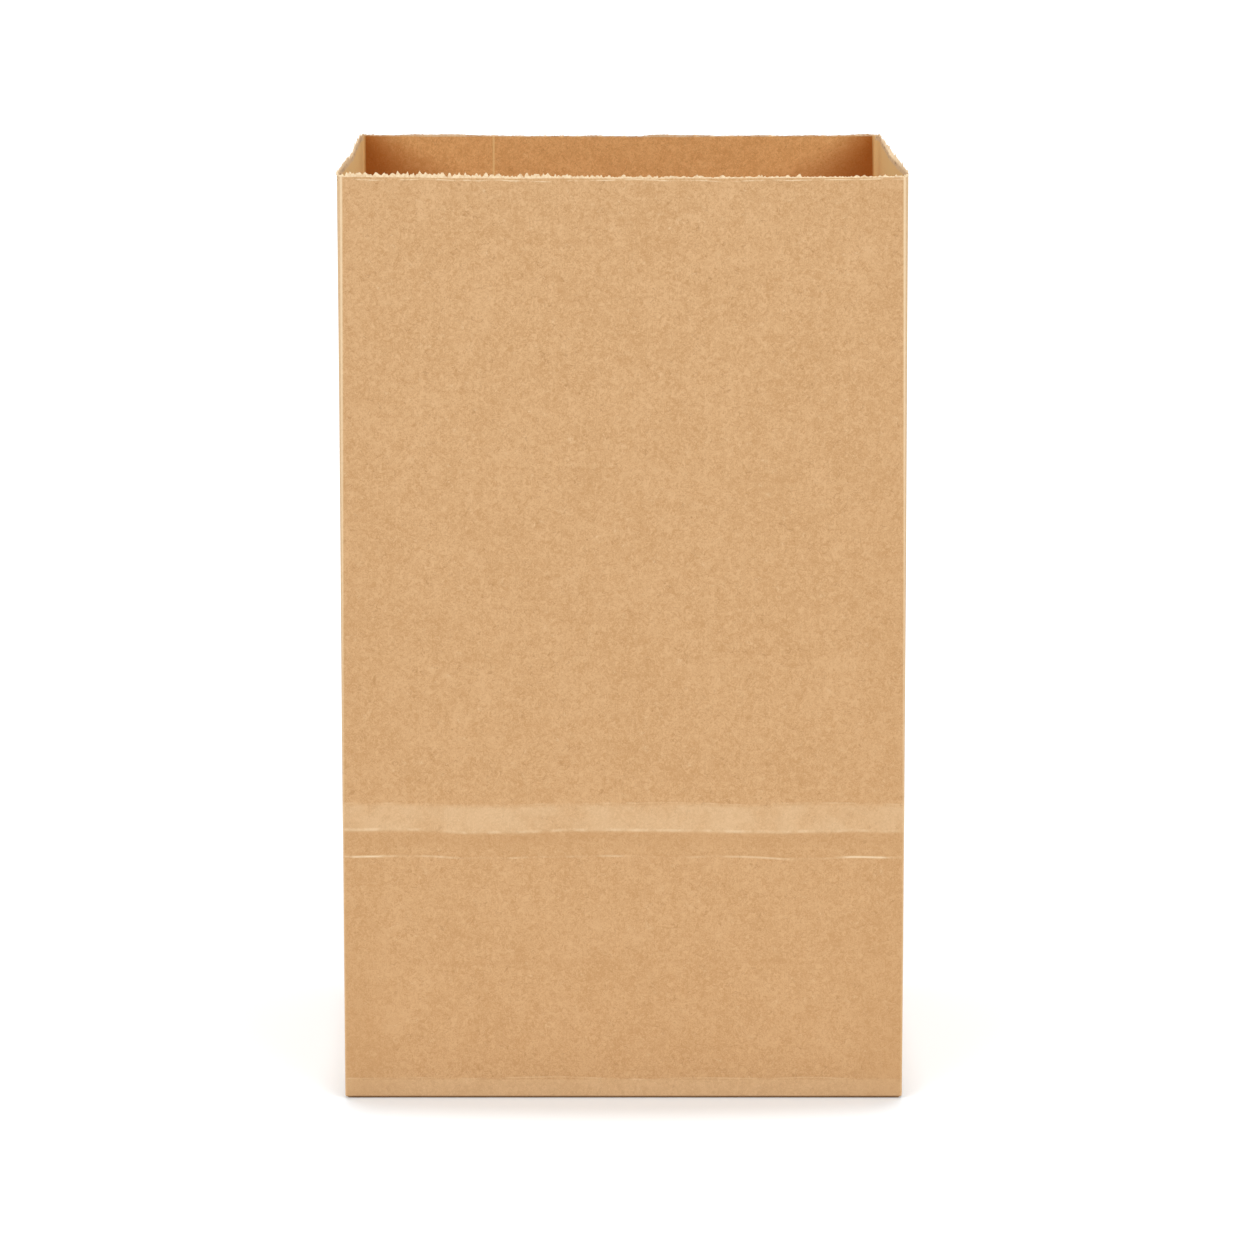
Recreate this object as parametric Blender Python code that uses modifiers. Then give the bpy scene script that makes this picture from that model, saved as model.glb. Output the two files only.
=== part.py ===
"""Paper lunch bag, standing open: one folded sheet with gusseted sides, a serrated rim and a pasted base.

The bag stands on its base at the origin, +Z up, with its front panel towards -Y.
A closed tube of wall and a floor are laid out as grids, folded into place by formula and welded,
then given the paper's thickness, and the rim and the laps under the base are cut to shape.
"""

import math
import random

import bmesh
import bpy

NAME = "lunch_bag"

# Overall sizes, in metres.
WIDTH = 0.152          # front panel, at the base
DEPTH = 0.112          # side gusset, front to back
HEIGHT = 0.252         # base to the mean line of the rim
RIM_WIDTH = 0.1472     # front panel, at the rim
PAPER = 0.00015        # one layer of paper
FOLD_RADIUS = 0.0006   # roll of the paper round the base's edges

# The crease left where the bag was folded flat, and the ridge above it.
CREASE_Z = 0.068
RIDGE_Z = 0.075
RELAXED_Z = 0.0822     # where the panel is flat again above the ridge
RIDGE_OUT = 0.0006

# How far the opened panels bow.
FRONT_BOW = 0.0045     # outward, at the middle of the rim
BACK_BOW = -0.002      # the same at the back, where the panel bows in instead
GUSSET_BULGE = 0.0022  # outward, beside the corner creases at the rim
GUSSET_TUCK = 0.0016   # inward, along the gusset's middle crease
APEX_DIP = 0.0012      # inward, where the base's slanting creases meet

# The glued lap down the back panel: its free edge inside and its free edge outside.
LAP_INSIDE_X = -0.0380
LAP_OUTSIDE_X = -0.0240
LAP_BLEND = 0.004      # the run in which a layer settles back beside the lap
LAP_STEP = 0.0001      # width of the step at a free edge

# The pasted flaps under the base.
FLAP_LAP_Y = -0.012    # free edge of the outer flap
FLAP_BORDER = 0.0012   # the rolled border that the recesses keep clear of
BASE_LAYERS = 3

# The cut edge.
TOOTH_PITCH = 0.0036
TOOTH_DEPTH = 0.0010
SIDE_TOOTH_DEPTH = 0.0008
BACK_TOOTH_PITCH = 0.0075
BACK_TOOTH_DEPTH = 0.0005
CUT_MARGIN = 0.003     # sheet above the rim's mean line, for the serrated cut to take off
CUTTER_REACH = 0.01    # how far the cutters run past the sheet
CUTTER_LAP = 0.0005    # how far the sides' cutter runs into the panels' cutters
CORNER_CUT = 0.0021    # the run of a gusset that is cut together with the panel beside it

ACROSS = 15            # cells across the front panel, the back panel and the floor
HALF_GUSSET = 5        # cells from a corner crease to the gusset's middle crease
KRAFT = (0.63, 0.41, 0.22, 1.0)


def clear_scene() -> None:
    """Remove whatever the scene holds."""
    for item in list(bpy.data.objects):
        bpy.data.objects.remove(item, do_unlink=True)


def blend(start: float, end: float, value: float) -> float:
    """Return 0 below start and 1 above end, with a smooth run between."""
    step = min(max((value - start) / (end - start), 0.0), 1.0)
    return step * step * (3.0 - 2.0 * step)


def rise(z: float) -> float:
    """Return how far up the wall above the crease a height is, from 0 to 1."""
    return max(0.0, (z - CREASE_Z) / (HEIGHT - CREASE_Z))


def half_width(z: float) -> float:
    """Half the front panel's width between its corner creases."""
    narrowing = (WIDTH - RIM_WIDTH) / 2.0
    return WIDTH / 2.0 - narrowing * rise(z) - edge_roll(z)


def edge_roll(z: float) -> float:
    """How far the wall is drawn in where it rolls under the base."""
    return FOLD_RADIUS * (1.0 - blend(0.0, FOLD_RADIUS, z))


def ridge(z: float) -> float:
    """How far the panel stands out at the ridge above the crease."""
    if z < RIDGE_Z:
        return RIDGE_OUT * max(0.0, (z - CREASE_Z) / (RIDGE_Z - CREASE_Z))
    return RIDGE_OUT * max(0.0, (RELAXED_Z - z) / (RELAXED_Z - RIDGE_Z))


def front_point(x: float, z: float) -> tuple:
    """A point of the front panel's outer face."""
    reach = 1.0 - (x / half_width(z)) ** 2
    bow = FRONT_BOW * rise(z) * reach
    return (x, -DEPTH / 2.0 + edge_roll(z) - bow - ridge(z), z)


def lap_swell(x: float) -> float:
    """How far the outer layer of the back lap stands out, as a share of one layer."""
    gained = blend(LAP_INSIDE_X - LAP_BLEND, LAP_INSIDE_X, x)
    lost = 1.0 if x > LAP_OUTSIDE_X - LAP_STEP / 2.0 else 0.0
    return gained - lost


def back_point(x: float, z: float) -> tuple:
    """A point of the back panel's outer face."""
    reach = 1.0 - (x / half_width(z)) ** 2
    bow = BACK_BOW * rise(z) * reach
    return (x, DEPTH / 2.0 - edge_roll(z) + bow + PAPER * lap_swell(x), z)


def gusset_offset(inward: float, z: float) -> float:
    """How far a gusset stands out of its flat plane.

    inward runs from 0 at a corner crease to 1 at the middle crease.
    """
    if z <= CREASE_Z:
        return -APEX_DIP * min(inward, z / CREASE_Z)
    up = rise(z)
    bulge = GUSSET_BULGE * up * math.sin(math.pi * inward ** 0.6)
    tuck = APEX_DIP + (GUSSET_TUCK - APEX_DIP) * math.sin(math.pi * min(1.0, up * 1.2) / 2.0)
    return bulge - tuck * inward


def gusset_point(side: int, place: float, z: float) -> tuple:
    """A point of a gusset's outer face; place runs from -1 at the front to 1 at the back."""
    depth = DEPTH / 2.0 - edge_roll(z)
    out = half_width(z) + gusset_offset(1.0 - abs(place), z)
    front = -depth - ridge(z) * max(0.0, -place) ** 3
    y = front if place <= -1.0 else place * depth
    return (side * out, y, z)


def panel_stations() -> list:
    """Places across the front panel, as shares of its half width."""
    return [2.0 * i / ACROSS - 1.0 for i in range(ACROSS + 1)]


def back_stations() -> list:
    """Places across the back panel at the base, in metres, closer together at the lap."""
    lap = [LAP_INSIDE_X - LAP_BLEND, LAP_INSIDE_X - LAP_STEP, LAP_INSIDE_X]
    lap += [LAP_OUTSIDE_X - LAP_STEP, LAP_OUTSIDE_X, LAP_OUTSIDE_X + LAP_BLEND]
    reach = WIDTH / 2.0 - FOLD_RADIUS
    left = [-reach, (lap[0] - reach) / 2.0]
    rest = ACROSS + 1 - len(left) - len(lap)
    right = [lap[-1] + (reach - lap[-1]) * (i + 1) / rest for i in range(rest)]
    return left + lap + right


def heights() -> list:
    """Heights of the wall's rows, from the base to just above the rim."""
    lower = [CREASE_Z * i / HALF_GUSSET for i in range(1, HALF_GUSSET + 1)]
    spread = 9
    upper = [RELAXED_Z + (HEIGHT - RELAXED_Z) * (i + 1) / spread for i in range(spread)]
    upper[-1] -= CUT_MARGIN
    return [0.0, FOLD_RADIUS] + lower + [RIDGE_Z, RELAXED_Z] + upper + [HEIGHT + CUT_MARGIN]


def wall_ring(z: float) -> list:
    """The wall's outer outline at one height, anticlockwise from the front left corner."""
    half = half_width(z)
    stretch = half / (WIDTH / 2.0 - FOLD_RADIUS)
    across = panel_stations()
    places = [i / HALF_GUSSET - 1.0 for i in range(1, 2 * HALF_GUSSET)]
    ring = [front_point(half * share, z) for share in across]
    ring += [gusset_point(1, place, z) for place in places]
    for x in reversed(back_stations()):
        # The lap keeps its place up the panel while the panel's sides draw in.
        near_corner = blend(0.7 * WIDTH / 2.0, WIDTH / 2.0 - FOLD_RADIUS, abs(x))
        ring.append(back_point(x * (1.0 + (stretch - 1.0) * near_corner), z))
    ring += [gusset_point(-1, place, z) for place in reversed(places)]
    return ring


def floor_rows() -> list:
    """The floor's outer face as rows of points from the front to the back."""
    ring = wall_ring(0.0)
    front = ring[:ACROSS + 1]
    start = ACROSS + 2 * HALF_GUSSET
    back = list(reversed(ring[start:start + ACROSS + 1]))
    rows = []
    for j in range(2 * HALF_GUSSET + 1):
        share = j / (2 * HALF_GUSSET)
        rows.append([tuple(a + (b - a) * share for a, b in zip(p, q)) for p, q in zip(front, back)])
    return rows


def add_grid(bm: bmesh.types.BMesh, rows: list) -> None:
    """Add a grid to the mesh and lay its points on rows of given points."""
    across, along = len(rows[0]) - 1, len(rows) - 1
    made = bmesh.ops.create_grid(bm, x_segments=across, y_segments=along, size=0.5)["verts"]
    for vert in made:
        column = round((vert.co.x + 0.5) * across)
        row = round((vert.co.y + 0.5) * along)
        vert.co = rows[row][column]


def crease_gussets(bm: bmesh.types.BMesh) -> None:
    """Split the cells that the base's slanting creases cross, so that they fold along them."""
    slope = CREASE_Z / (DEPTH / 2.0)
    near = 0.1 * DEPTH / 2.0 / HALF_GUSSET
    for face in list(bm.faces):
        middle = face.calc_center_median()
        on_gusset = abs(face.normal.x) > 0.5
        if not on_gusset or middle.z > CREASE_Z:
            continue
        ends = [v for v in face.verts if abs((DEPTH / 2.0 - abs(v.co.y)) * slope - v.co.z) < near]
        if len(ends) == 2 and abs((DEPTH / 2.0 - abs(middle.y)) * slope - middle.z) < near:
            bmesh.ops.connect_verts(bm, verts=ends)


def layers(point) -> int:
    """How many layers of paper lie at a point of the outer face."""
    if point.z < FOLD_RADIUS / 2.0:
        return BASE_LAYERS
    on_back = point.y > DEPTH / 4.0
    in_lap = LAP_INSIDE_X - LAP_STEP / 2.0 < point.x < LAP_OUTSIDE_X - LAP_STEP / 2.0
    return 2 if on_back and in_lap else 1


def make_bag(collection: bpy.types.Collection) -> bpy.types.Object:
    """Fold the sheet into the open bag and give it the paper's thickness."""
    bm = bmesh.new()
    rings = [wall_ring(z) for z in heights()]
    add_grid(bm, [ring + ring[:1] for ring in rings])
    add_grid(bm, [list(reversed(row)) for row in floor_rows()])
    bmesh.ops.remove_doubles(bm, verts=bm.verts, dist=0.00001)
    bmesh.ops.recalc_face_normals(bm, faces=bm.faces)
    crease_gussets(bm)
    mesh = bpy.data.meshes.new(NAME)
    bm.to_mesh(mesh)
    bm.free()

    bag = bpy.data.objects.new(NAME, mesh)
    collection.objects.link(bag)
    group = bag.vertex_groups.new(name="layers")
    for vert in mesh.vertices:
        group.add([vert.index], layers(vert.co) / BASE_LAYERS, "REPLACE")
    solidify = bag.modifiers.new("paper", "SOLIDIFY")
    solidify.thickness = PAPER * BASE_LAYERS
    solidify.vertex_group = group.name
    solidify.offset = -1.0
    solidify.use_even_offset = True
    solidify.use_rim = True
    return bag


def add_prism(name: str, outline: list, thickness: float, collection: bpy.types.Collection):
    """Make a cutter: a flat outline given a thickness across it."""
    mesh = bpy.data.meshes.new(name)
    bm = bmesh.new()
    bm.faces.new([bm.verts.new(point) for point in outline])
    bm.to_mesh(mesh)
    bm.free()
    cutter = bpy.data.objects.new(name, mesh)
    cutter.hide_render = True
    cutter.display_type = "WIRE"
    collection.objects.link(cutter)
    solidify = cutter.modifiers.new("thickness", "SOLIDIFY")
    solidify.thickness = thickness
    solidify.offset = 0.0
    return cutter


def cut(bag: bpy.types.Object, cutter: bpy.types.Object) -> None:
    """Take a cutter's shape out of the bag."""
    boolean = bag.modifiers.new(cutter.name, "BOOLEAN")
    boolean.operation = "DIFFERENCE"
    boolean.object = cutter


def serration(start: float, end: float, pitch: float, depth: float, seed: int) -> list:
    """The torn edge of a serrated cut, as (place, height) pairs along a run."""
    draw = random.Random(seed)
    points = []
    place = start
    while place < end:
        points.append((place, HEIGHT - depth * draw.uniform(0.2, 1.0)))
        step = pitch * draw.uniform(0.7, 1.3)
        points.append((place + step * draw.uniform(0.35, 0.65), HEIGHT + depth * draw.uniform(0.2, 1.0)))
        place += step
    return points


def cut_rim(bag: bpy.types.Object, collection: bpy.types.Collection) -> None:
    """Cut the rim's teeth on the front, both gussets and the back."""
    top = HEIGHT + 3.0 * CUT_MARGIN
    reach_x = WIDTH / 2.0 + CUTTER_REACH
    corner_y = DEPTH / 2.0 - CORNER_CUT
    spans = (
        ("cut_front", -DEPTH / 2.0, TOOTH_PITCH, TOOTH_DEPTH, 3),
        ("cut_back", DEPTH / 2.0, BACK_TOOTH_PITCH, BACK_TOOTH_DEPTH, 5),
    )
    for name, middle_y, pitch, depth, seed in spans:
        teeth = serration(-reach_x, reach_x, pitch, depth, seed)
        outline = [(x, 0.0, z) for x, z in teeth]
        outline += [(teeth[-1][0], 0.0, top), (teeth[0][0], 0.0, top)]
        thickness = abs(middle_y) - corner_y + 2.0 * CUTTER_REACH
        cutter = add_prism(name, outline, thickness, collection)
        cutter.location.y = math.copysign(corner_y + thickness / 2.0, middle_y)
        cut(bag, cutter)
    side_y = corner_y + CUTTER_LAP
    teeth = serration(-side_y, side_y, TOOTH_PITCH, SIDE_TOOTH_DEPTH, 8)
    teeth[-1] = (side_y, teeth[-1][1])
    outline = [(0.0, y, z) for y, z in teeth]
    outline += [(0.0, teeth[-1][0], top), (0.0, teeth[0][0], top)]
    cut(bag, add_prism("cut_sides", outline, 2.0 * reach_x, collection))


def cut_base(bag: bpy.types.Object, collection: bpy.types.Collection) -> None:
    """Recess the base's inner layers, so that the pasted flaps show as laps underneath.

    The front flap lies one layer up from the back flap, and the ears at both ends two layers up.
    """
    half_x = WIDTH / 2.0 - FLAP_BORDER
    half_y = DEPTH / 2.0 - FLAP_BORDER
    for side, name in ((-1, "ear_left"), (1, "ear_right")):
        ear = [(side * half_x, -half_y), (side * half_x, half_y), (side * (half_x - half_y), 0.0)]
        cut(bag, add_prism(name, [(x, y, 0.0) for x, y in ear], 4.0 * PAPER, collection))
    flap_x = half_x - FLAP_BORDER / 2.0
    flap_y = half_y - FLAP_BORDER / 2.0
    flap = [(-flap_x, -flap_y), (flap_x, -flap_y), (flap_x, FLAP_LAP_Y), (-flap_x, FLAP_LAP_Y)]
    cut(bag, add_prism("front_flap", [(x, y, 0.0) for x, y in flap], 2.0 * PAPER, collection))


def paper_material() -> bpy.types.Material:
    """Brown kraft paper."""
    material = bpy.data.materials.new("kraft_paper")
    material.use_nodes = True
    shader = material.node_tree.nodes["Principled BSDF"]
    shader.inputs["Base Color"].default_value = KRAFT
    shader.inputs["Roughness"].default_value = 0.85
    shader.inputs["Metallic"].default_value = 0.0
    return material


def main() -> None:
    """Build the bag."""
    clear_scene()
    parts = bpy.data.collections.new("paper_lunch_bag")
    cutters = bpy.data.collections.new("cutters")
    bpy.context.scene.collection.children.link(parts)
    bpy.context.scene.collection.children.link(cutters)
    bag = make_bag(parts)
    bag.data.materials.append(paper_material())
    cut_rim(bag, cutters)
    cut_base(bag, cutters)


main()
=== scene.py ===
"""Looks of the paper lunch bag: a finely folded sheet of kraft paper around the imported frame.

The bag is made as the real one is: a flat sheet, creased, folded round into a gusseted tube,
given the paper's thickness and closed underneath with two pasted flaps. Lengths are in metres.
"""

import logging
import math
from dataclasses import dataclass, field
from enum import Enum

import bpy
import numpy as np
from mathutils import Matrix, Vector, noise


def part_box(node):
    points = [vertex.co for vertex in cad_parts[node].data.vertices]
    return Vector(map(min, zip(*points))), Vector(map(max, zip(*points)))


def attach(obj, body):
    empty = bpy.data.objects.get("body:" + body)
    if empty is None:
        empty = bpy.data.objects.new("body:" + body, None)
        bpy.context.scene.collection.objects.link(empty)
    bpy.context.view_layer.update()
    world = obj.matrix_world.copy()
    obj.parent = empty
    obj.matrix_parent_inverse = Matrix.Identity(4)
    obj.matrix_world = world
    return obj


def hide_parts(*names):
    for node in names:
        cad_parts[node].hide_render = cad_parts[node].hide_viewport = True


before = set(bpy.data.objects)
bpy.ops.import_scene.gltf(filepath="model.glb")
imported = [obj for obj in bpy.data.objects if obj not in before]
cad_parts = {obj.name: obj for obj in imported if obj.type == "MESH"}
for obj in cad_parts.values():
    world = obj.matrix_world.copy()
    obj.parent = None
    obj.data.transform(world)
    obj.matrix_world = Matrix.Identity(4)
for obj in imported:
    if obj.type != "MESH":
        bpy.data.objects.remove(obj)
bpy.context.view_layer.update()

LOG = logging.getLogger("lunch_bag")
NODE = "lunch_bag"
BODY = "root"
SHEET_MAP = "sheet"
TORN = "torn"


def deselect_all() -> None:
    """Leave nothing selected, so that the next operator acts only on what it is given."""
    if bpy.context.mode != "OBJECT":
        bpy.ops.object.mode_set(mode="OBJECT")
    bpy.ops.object.select_all(action="DESELECT")


def roughness_of(points: np.ndarray, size: float, seed: float) -> np.ndarray:
    """Sample smooth noise at a list of points.

    Args:
        points: one row of three coordinates for each sample, in metres.
        size: length of one swell of the noise, in metres.
        seed: shifts the pattern, so that two uses differ.

    Returns:
        One value between about -1 and 1 for each point.
    """
    shift = Vector((seed * 7.3, seed * 3.1, seed * 11.7))
    return np.array([noise.noise(Vector(p) / size + shift) for p in points])


def ramp(low: float, high: float, values: np.ndarray) -> np.ndarray:
    """Rise smoothly from 0 at low to 1 at high."""
    share = np.clip((values - low) / (high - low), 0.0, 1.0)
    return share * share * (3.0 - 2.0 * share)


def stations(length: float, creases: list[float], cell: float, fine: tuple) -> np.ndarray:
    """Places along a panel, close together beside its creases.

    Args:
        length: the panel's length.
        creases: places that get fine rows on both sides.
        cell: the widest step elsewhere.
        fine: distances of the fine rows from a crease.

    Returns:
        The places in rising order, with both ends.
    """
    marks = {0.0, length}
    for crease in creases:
        for gap in (0.0,) + fine:
            marks |= {round(p, 7) for p in (crease - gap, crease + gap) if 0.0 <= p <= length}
    ordered = sorted(marks)
    places = [0.0]
    for start, end in zip(ordered, ordered[1:]):
        steps = max(1, math.ceil((end - start) / cell - 1e-6))
        places += [start + (end - start) * (i + 1) / steps for i in range(steps)]
    return np.array(places)


@dataclass
class BagForm:
    """The open bag's shape: where each point of the flat sheet ends up.

    A point of the sheet has a place round the bag, from the front left crease through the
    front, the right gusset, the back and the left gusset, and a height above the base.
    """

    width: float
    depth: float
    height: float
    paper: float = 0.00015
    crease_z: float = 0.068
    ridge_z: float = 0.075
    relaxed_z: float = 0.0825
    ridge_out: float = 0.00062
    apex_dip: float = 0.0012
    fold_radius: float = 0.0009
    floor_lift: float = 0.0003
    floor_border: float = 0.0012
    front_bow: float = 0.0045
    back_bow: float = -0.002
    swell: float = 0.00035
    lap_inside_x: float = -0.038
    lap_outside_x: float = -0.024
    lap_blend: float = 0.004
    lap_step: float = 0.0001
    left_reach: tuple = ((0.0, 0.068, 0.1, 0.252), (0.076, 0.0757, 0.07545, 0.0739))
    right_reach: tuple = ((0.0, 0.068, 0.15, 0.252), (0.076, 0.0757, 0.0749, 0.0736))
    back_left_rim: float = 0.0744
    back_right_rim: float = 0.0716
    left_bulge: tuple = (0.00142, 0.0009)
    right_bulge: tuple = (0.00132, 0.0016)
    bulge_run: float = 0.0012
    bulge_fade: float = 0.09
    left_tuck: float = 0.0006
    right_tuck: float = 0.0004

    @property
    def girth(self) -> float:
        """Length of the sheet round the bag."""
        return 2.0 * (self.width + self.depth)

    def rise(self, z: np.ndarray) -> np.ndarray:
        """How far up the wall above the crease a height is, from 0 to 1."""
        return np.clip((z - self.crease_z) / (self.height - self.crease_z), 0.0, 1.02)

    def roll(self, z: np.ndarray) -> np.ndarray:
        """How far the wall is drawn in where it rolls under the base."""
        return self.fold_radius * (1.0 - ramp(0.0, self.fold_radius, z))

    def front_edge(self, side: int, z: np.ndarray) -> np.ndarray:
        """Distance of a front corner crease from the middle plane."""
        heights, reach = self.left_reach if side < 0 else self.right_reach
        return np.interp(z, heights, reach) - self.roll(z)

    def back_edge(self, side: int, z: np.ndarray) -> np.ndarray:
        """Distance of a back corner crease from the middle plane."""
        rim = self.back_left_rim if side < 0 else self.back_right_rim
        return self.width / 2.0 + (rim - self.width / 2.0) * self.rise(z) - self.roll(z)

    def ridge(self, place: np.ndarray, z: np.ndarray) -> np.ndarray:
        """How far the front stands out at the ridge above the crease.

        Args:
            place: from -1 at the panel's left end to 1 at its right end.
            z: height above the base.

        Returns:
            The distance outward.
        """
        crest = self.ridge_z + 0.0006 * np.sin(place * 5.0 + 0.8)
        top = self.relaxed_z + 0.0007 * ramp(-0.6, 0.2, place)
        up = np.clip((z - self.crease_z) / (crest - self.crease_z), 0.0, 1.0)
        down = np.clip((top - z) / (top - crest), 0.0, 1.0)
        return self.ridge_out * (0.85 + 0.15 * np.cos(place * 4.0)) * np.minimum(up, down)

    def gusset_out(self, side: int, back: np.ndarray, z: np.ndarray) -> np.ndarray:
        """How far a gusset stands out of the flat plane between its corner creases.

        Args:
            side: -1 for the left gusset, 1 for the right.
            back: 0 at the front crease, 1 at the back crease.
            z: height above the base.

        Returns:
            The distance outward, negative where the gusset is tucked in.
        """
        inward = 1.0 - np.abs(2.0 * back - 1.0)
        ahead, behind = self.left_bulge if side < 0 else self.right_bulge
        bulge = ahead + (behind - ahead) * ramp(0.1, 0.9, back)
        tuck = self.left_tuck if side < 0 else self.right_tuck
        up = self.rise(z)
        low = -self.apex_dip * np.minimum(inward, z / self.crease_z)
        belly = 0.0016 * np.sin(np.pi * np.clip(up, 0.0, 1.0)) * inward
        drawn = (self.apex_dip + (tuck - self.apex_dip) * ramp(0.0, 1.0, up)) * inward + belly
        swollen = (0.18 + 0.82 * up) * ramp(0.0, 0.07, up)
        away = inward * self.depth / 2.0
        beside = (1.0 - np.exp(-away / self.bulge_run)) * np.exp(-away / self.bulge_fade)
        high = bulge * swollen * beside - drawn
        return np.where(z <= self.crease_z, low, high)

    def lap_swell(self, x: np.ndarray) -> np.ndarray:
        """How far the outer layer of the back lap stands out, as a share of one layer."""
        gained = ramp(self.lap_inside_x - self.lap_blend, self.lap_inside_x, x)
        return np.where(x > self.lap_outside_x, 0.0, gained)

    def front(self, place: np.ndarray, z: np.ndarray) -> np.ndarray:
        """Points of the front panel; place runs from -1 at its left to 1 at its right."""
        x = np.where(place < 0.0, self.front_edge(-1, z), self.front_edge(1, z)) * place
        bow = self.front_bow * self.rise(z) ** 1.3 * (1.0 - place ** 2)
        edge = np.clip((1.0 - np.abs(place)) * 6.0, 0.0, 1.0) ** 0.5
        y = -self.depth / 2.0 + self.roll(z) - bow - self.ridge(place, z) * (0.35 + 0.65 * edge)
        return np.stack([x, y, z], axis=1)

    def back(self, place: np.ndarray, z: np.ndarray) -> np.ndarray:
        """Points of the back panel; place runs from -1 at its left to 1 at its right."""
        x = np.where(place < 0.0, self.back_edge(-1, z), self.back_edge(1, z)) * place
        bow = self.back_bow * self.rise(z) ** 1.3 * (1.0 - place ** 2)
        lap = self.paper * self.lap_swell(place * (self.width / 2.0 - self.fold_radius))
        return np.stack([x, self.depth / 2.0 - self.roll(z) + bow + lap, z], axis=1)

    def gusset(self, side: int, back: np.ndarray, z: np.ndarray) -> np.ndarray:
        """Points of a gusset; back runs from 0 at the front crease to 1 at the back crease."""
        edge = self.front_edge(side, z) * (1.0 - back) + self.back_edge(side, z) * back
        out = edge + self.gusset_out(side, back, z)
        ends = np.full_like(z, float(side))
        ridge = self.ridge(ends, z) * 0.35 * np.clip(1.0 - 2.0 * back, 0.0, 1.0)
        reach = self.depth / 2.0 - self.roll(z)
        y = reach * (2.0 * back - 1.0) - ridge
        return np.stack([side * out, y, z], axis=1)

    def from_front(self, around: np.ndarray) -> np.ndarray:
        """Distance round the bag from the middle of the front panel."""
        turned = np.mod(around - self.width / 2.0 + self.girth / 2.0, self.girth)
        return np.abs(turned - self.girth / 2.0)

    def fold(self, around: np.ndarray, z: np.ndarray) -> np.ndarray:
        """Fold points of the flat sheet into the open bag.

        Args:
            around: place round the bag, from the front left crease.
            z: height above the base.

        Returns:
            One row of three coordinates for each point.
        """
        width, depth = self.width, self.depth
        panels = (
            (around <= width, self.front(2.0 * around / width - 1.0, z)),
            (around <= width + depth, self.gusset(1, (around - width) / depth, z)),
            (around <= 2.0 * width + depth, self.back(1.0 - 2.0 * (around - width - depth) / width, z)),
            (around <= self.girth + 1.0, self.gusset(-1, (self.girth - around) / depth, z)),
        )
        points = np.zeros((len(z), 3))
        done = np.zeros(len(z), bool)
        for inside, place in panels:
            points[inside & ~done] = place[inside & ~done]
            done |= inside
        return points

    def crease_places(self) -> list[float]:
        """Distances of the upright creases from the middle of the front: front, gusset, back."""
        return [self.width / 2.0 + self.depth * share for share in (0.0, 0.5, 1.0)]

    def crease_gap(self, around: np.ndarray) -> np.ndarray:
        """Distance round the bag from the nearest upright crease."""
        out = self.from_front(around)
        return np.min([np.abs(out - crease) for crease in self.crease_places()], axis=0)

    def swells(self, around: np.ndarray, points: np.ndarray) -> np.ndarray:
        """How far the panels swell out or in, by hand-sized waves that die out at the creases."""
        calm = 1.0 - np.exp(-(self.crease_gap(around) / 0.012) ** 2)
        settle = ramp(0.002, 0.03, points[:, 2]) * (1.0 - 0.7 * np.exp(-((points[:, 2] - 0.07) / 0.012) ** 2))
        stretched = points * np.array([1.0, 1.0, 0.55])
        wave = roughness_of(stretched, 0.045, 1.0) + 0.35 * roughness_of(points, 0.016, 2.0)
        return self.swell * wave * calm * settle


@dataclass
class TornEdge:
    """The bag's rim: a fairly even tear line with ragged fibres standing above it."""

    form: BagForm
    strip: float = 0.003
    line_share: float = 0.625
    lift: float = 0.0003
    splay: float = 0.0001
    left_splay: float = 0.0001
    right_splay: float = 0.0005

    def line(self, ring: np.ndarray, out: np.ndarray) -> np.ndarray:
        """Height of the tear line at points round the rim."""
        on_back = ramp(self.form.width / 2.0 + self.form.depth - 0.002,
                       self.form.width / 2.0 + self.form.depth + 0.03, out)
        wave = 0.00016 * roughness_of(ring, 0.02, 4.0) + 0.0001 * roughness_of(ring, 0.006, 5.0)
        return self.form.height - 0.0002 + wave - 0.0001 * on_back

    def teeth(self, ring: np.ndarray, out: np.ndarray) -> np.ndarray:
        """Height of the torn fibres above the tear line at points round the rim."""
        on_back = ramp(self.form.width / 2.0 + self.form.depth - 0.012,
                       self.form.width / 2.0 + self.form.depth + 0.002, out)
        on_gusset = ramp(self.form.width / 2.0 - 0.002, self.form.width / 2.0 + 0.004, out)
        ragged = 0.88 - 0.48 * ramp(-0.03, 0.03, ring[:, 0]) * (1.0 - on_gusset) - 0.2 * on_gusset
        clumps = 0.75 + 0.45 * roughness_of(ring, 0.013, 6.0)
        coarse = np.maximum(0.0, roughness_of(ring, 0.0013, 7.0) + 0.06) ** 1.3
        fine = np.abs(roughness_of(ring, 0.0007, 8.0))
        torn = 0.00025 + 0.0021 * coarse * np.clip(clumps, 0.5, 1.15) + 0.0021 * fine
        bumps = 0.0002 + 0.0009 * np.maximum(0.0, roughness_of(ring, 0.011, 9.0)) + 0.0003 * fine
        return torn * ragged * (1.0 - on_back) + bumps * on_back

    def flare(self, points: np.ndarray, out: np.ndarray) -> np.ndarray:
        """How far the torn fibres of the gussets splay outward at the very rim."""
        form = self.form
        start, middle, end = (form.width / 2.0 + form.depth * share for share in (0.04, 0.5, 0.96))
        on_gusset = ramp(start - 0.004, start + 0.006, out) * (1.0 - ramp(end - 0.008, end, out))
        tucked = np.exp(-((out - middle) / 0.03) ** 2)
        side_splay = np.where(points[:, 0] > 0.0, self.right_splay, self.left_splay)
        return on_gusset * (self.splay + side_splay * tucked)


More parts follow.
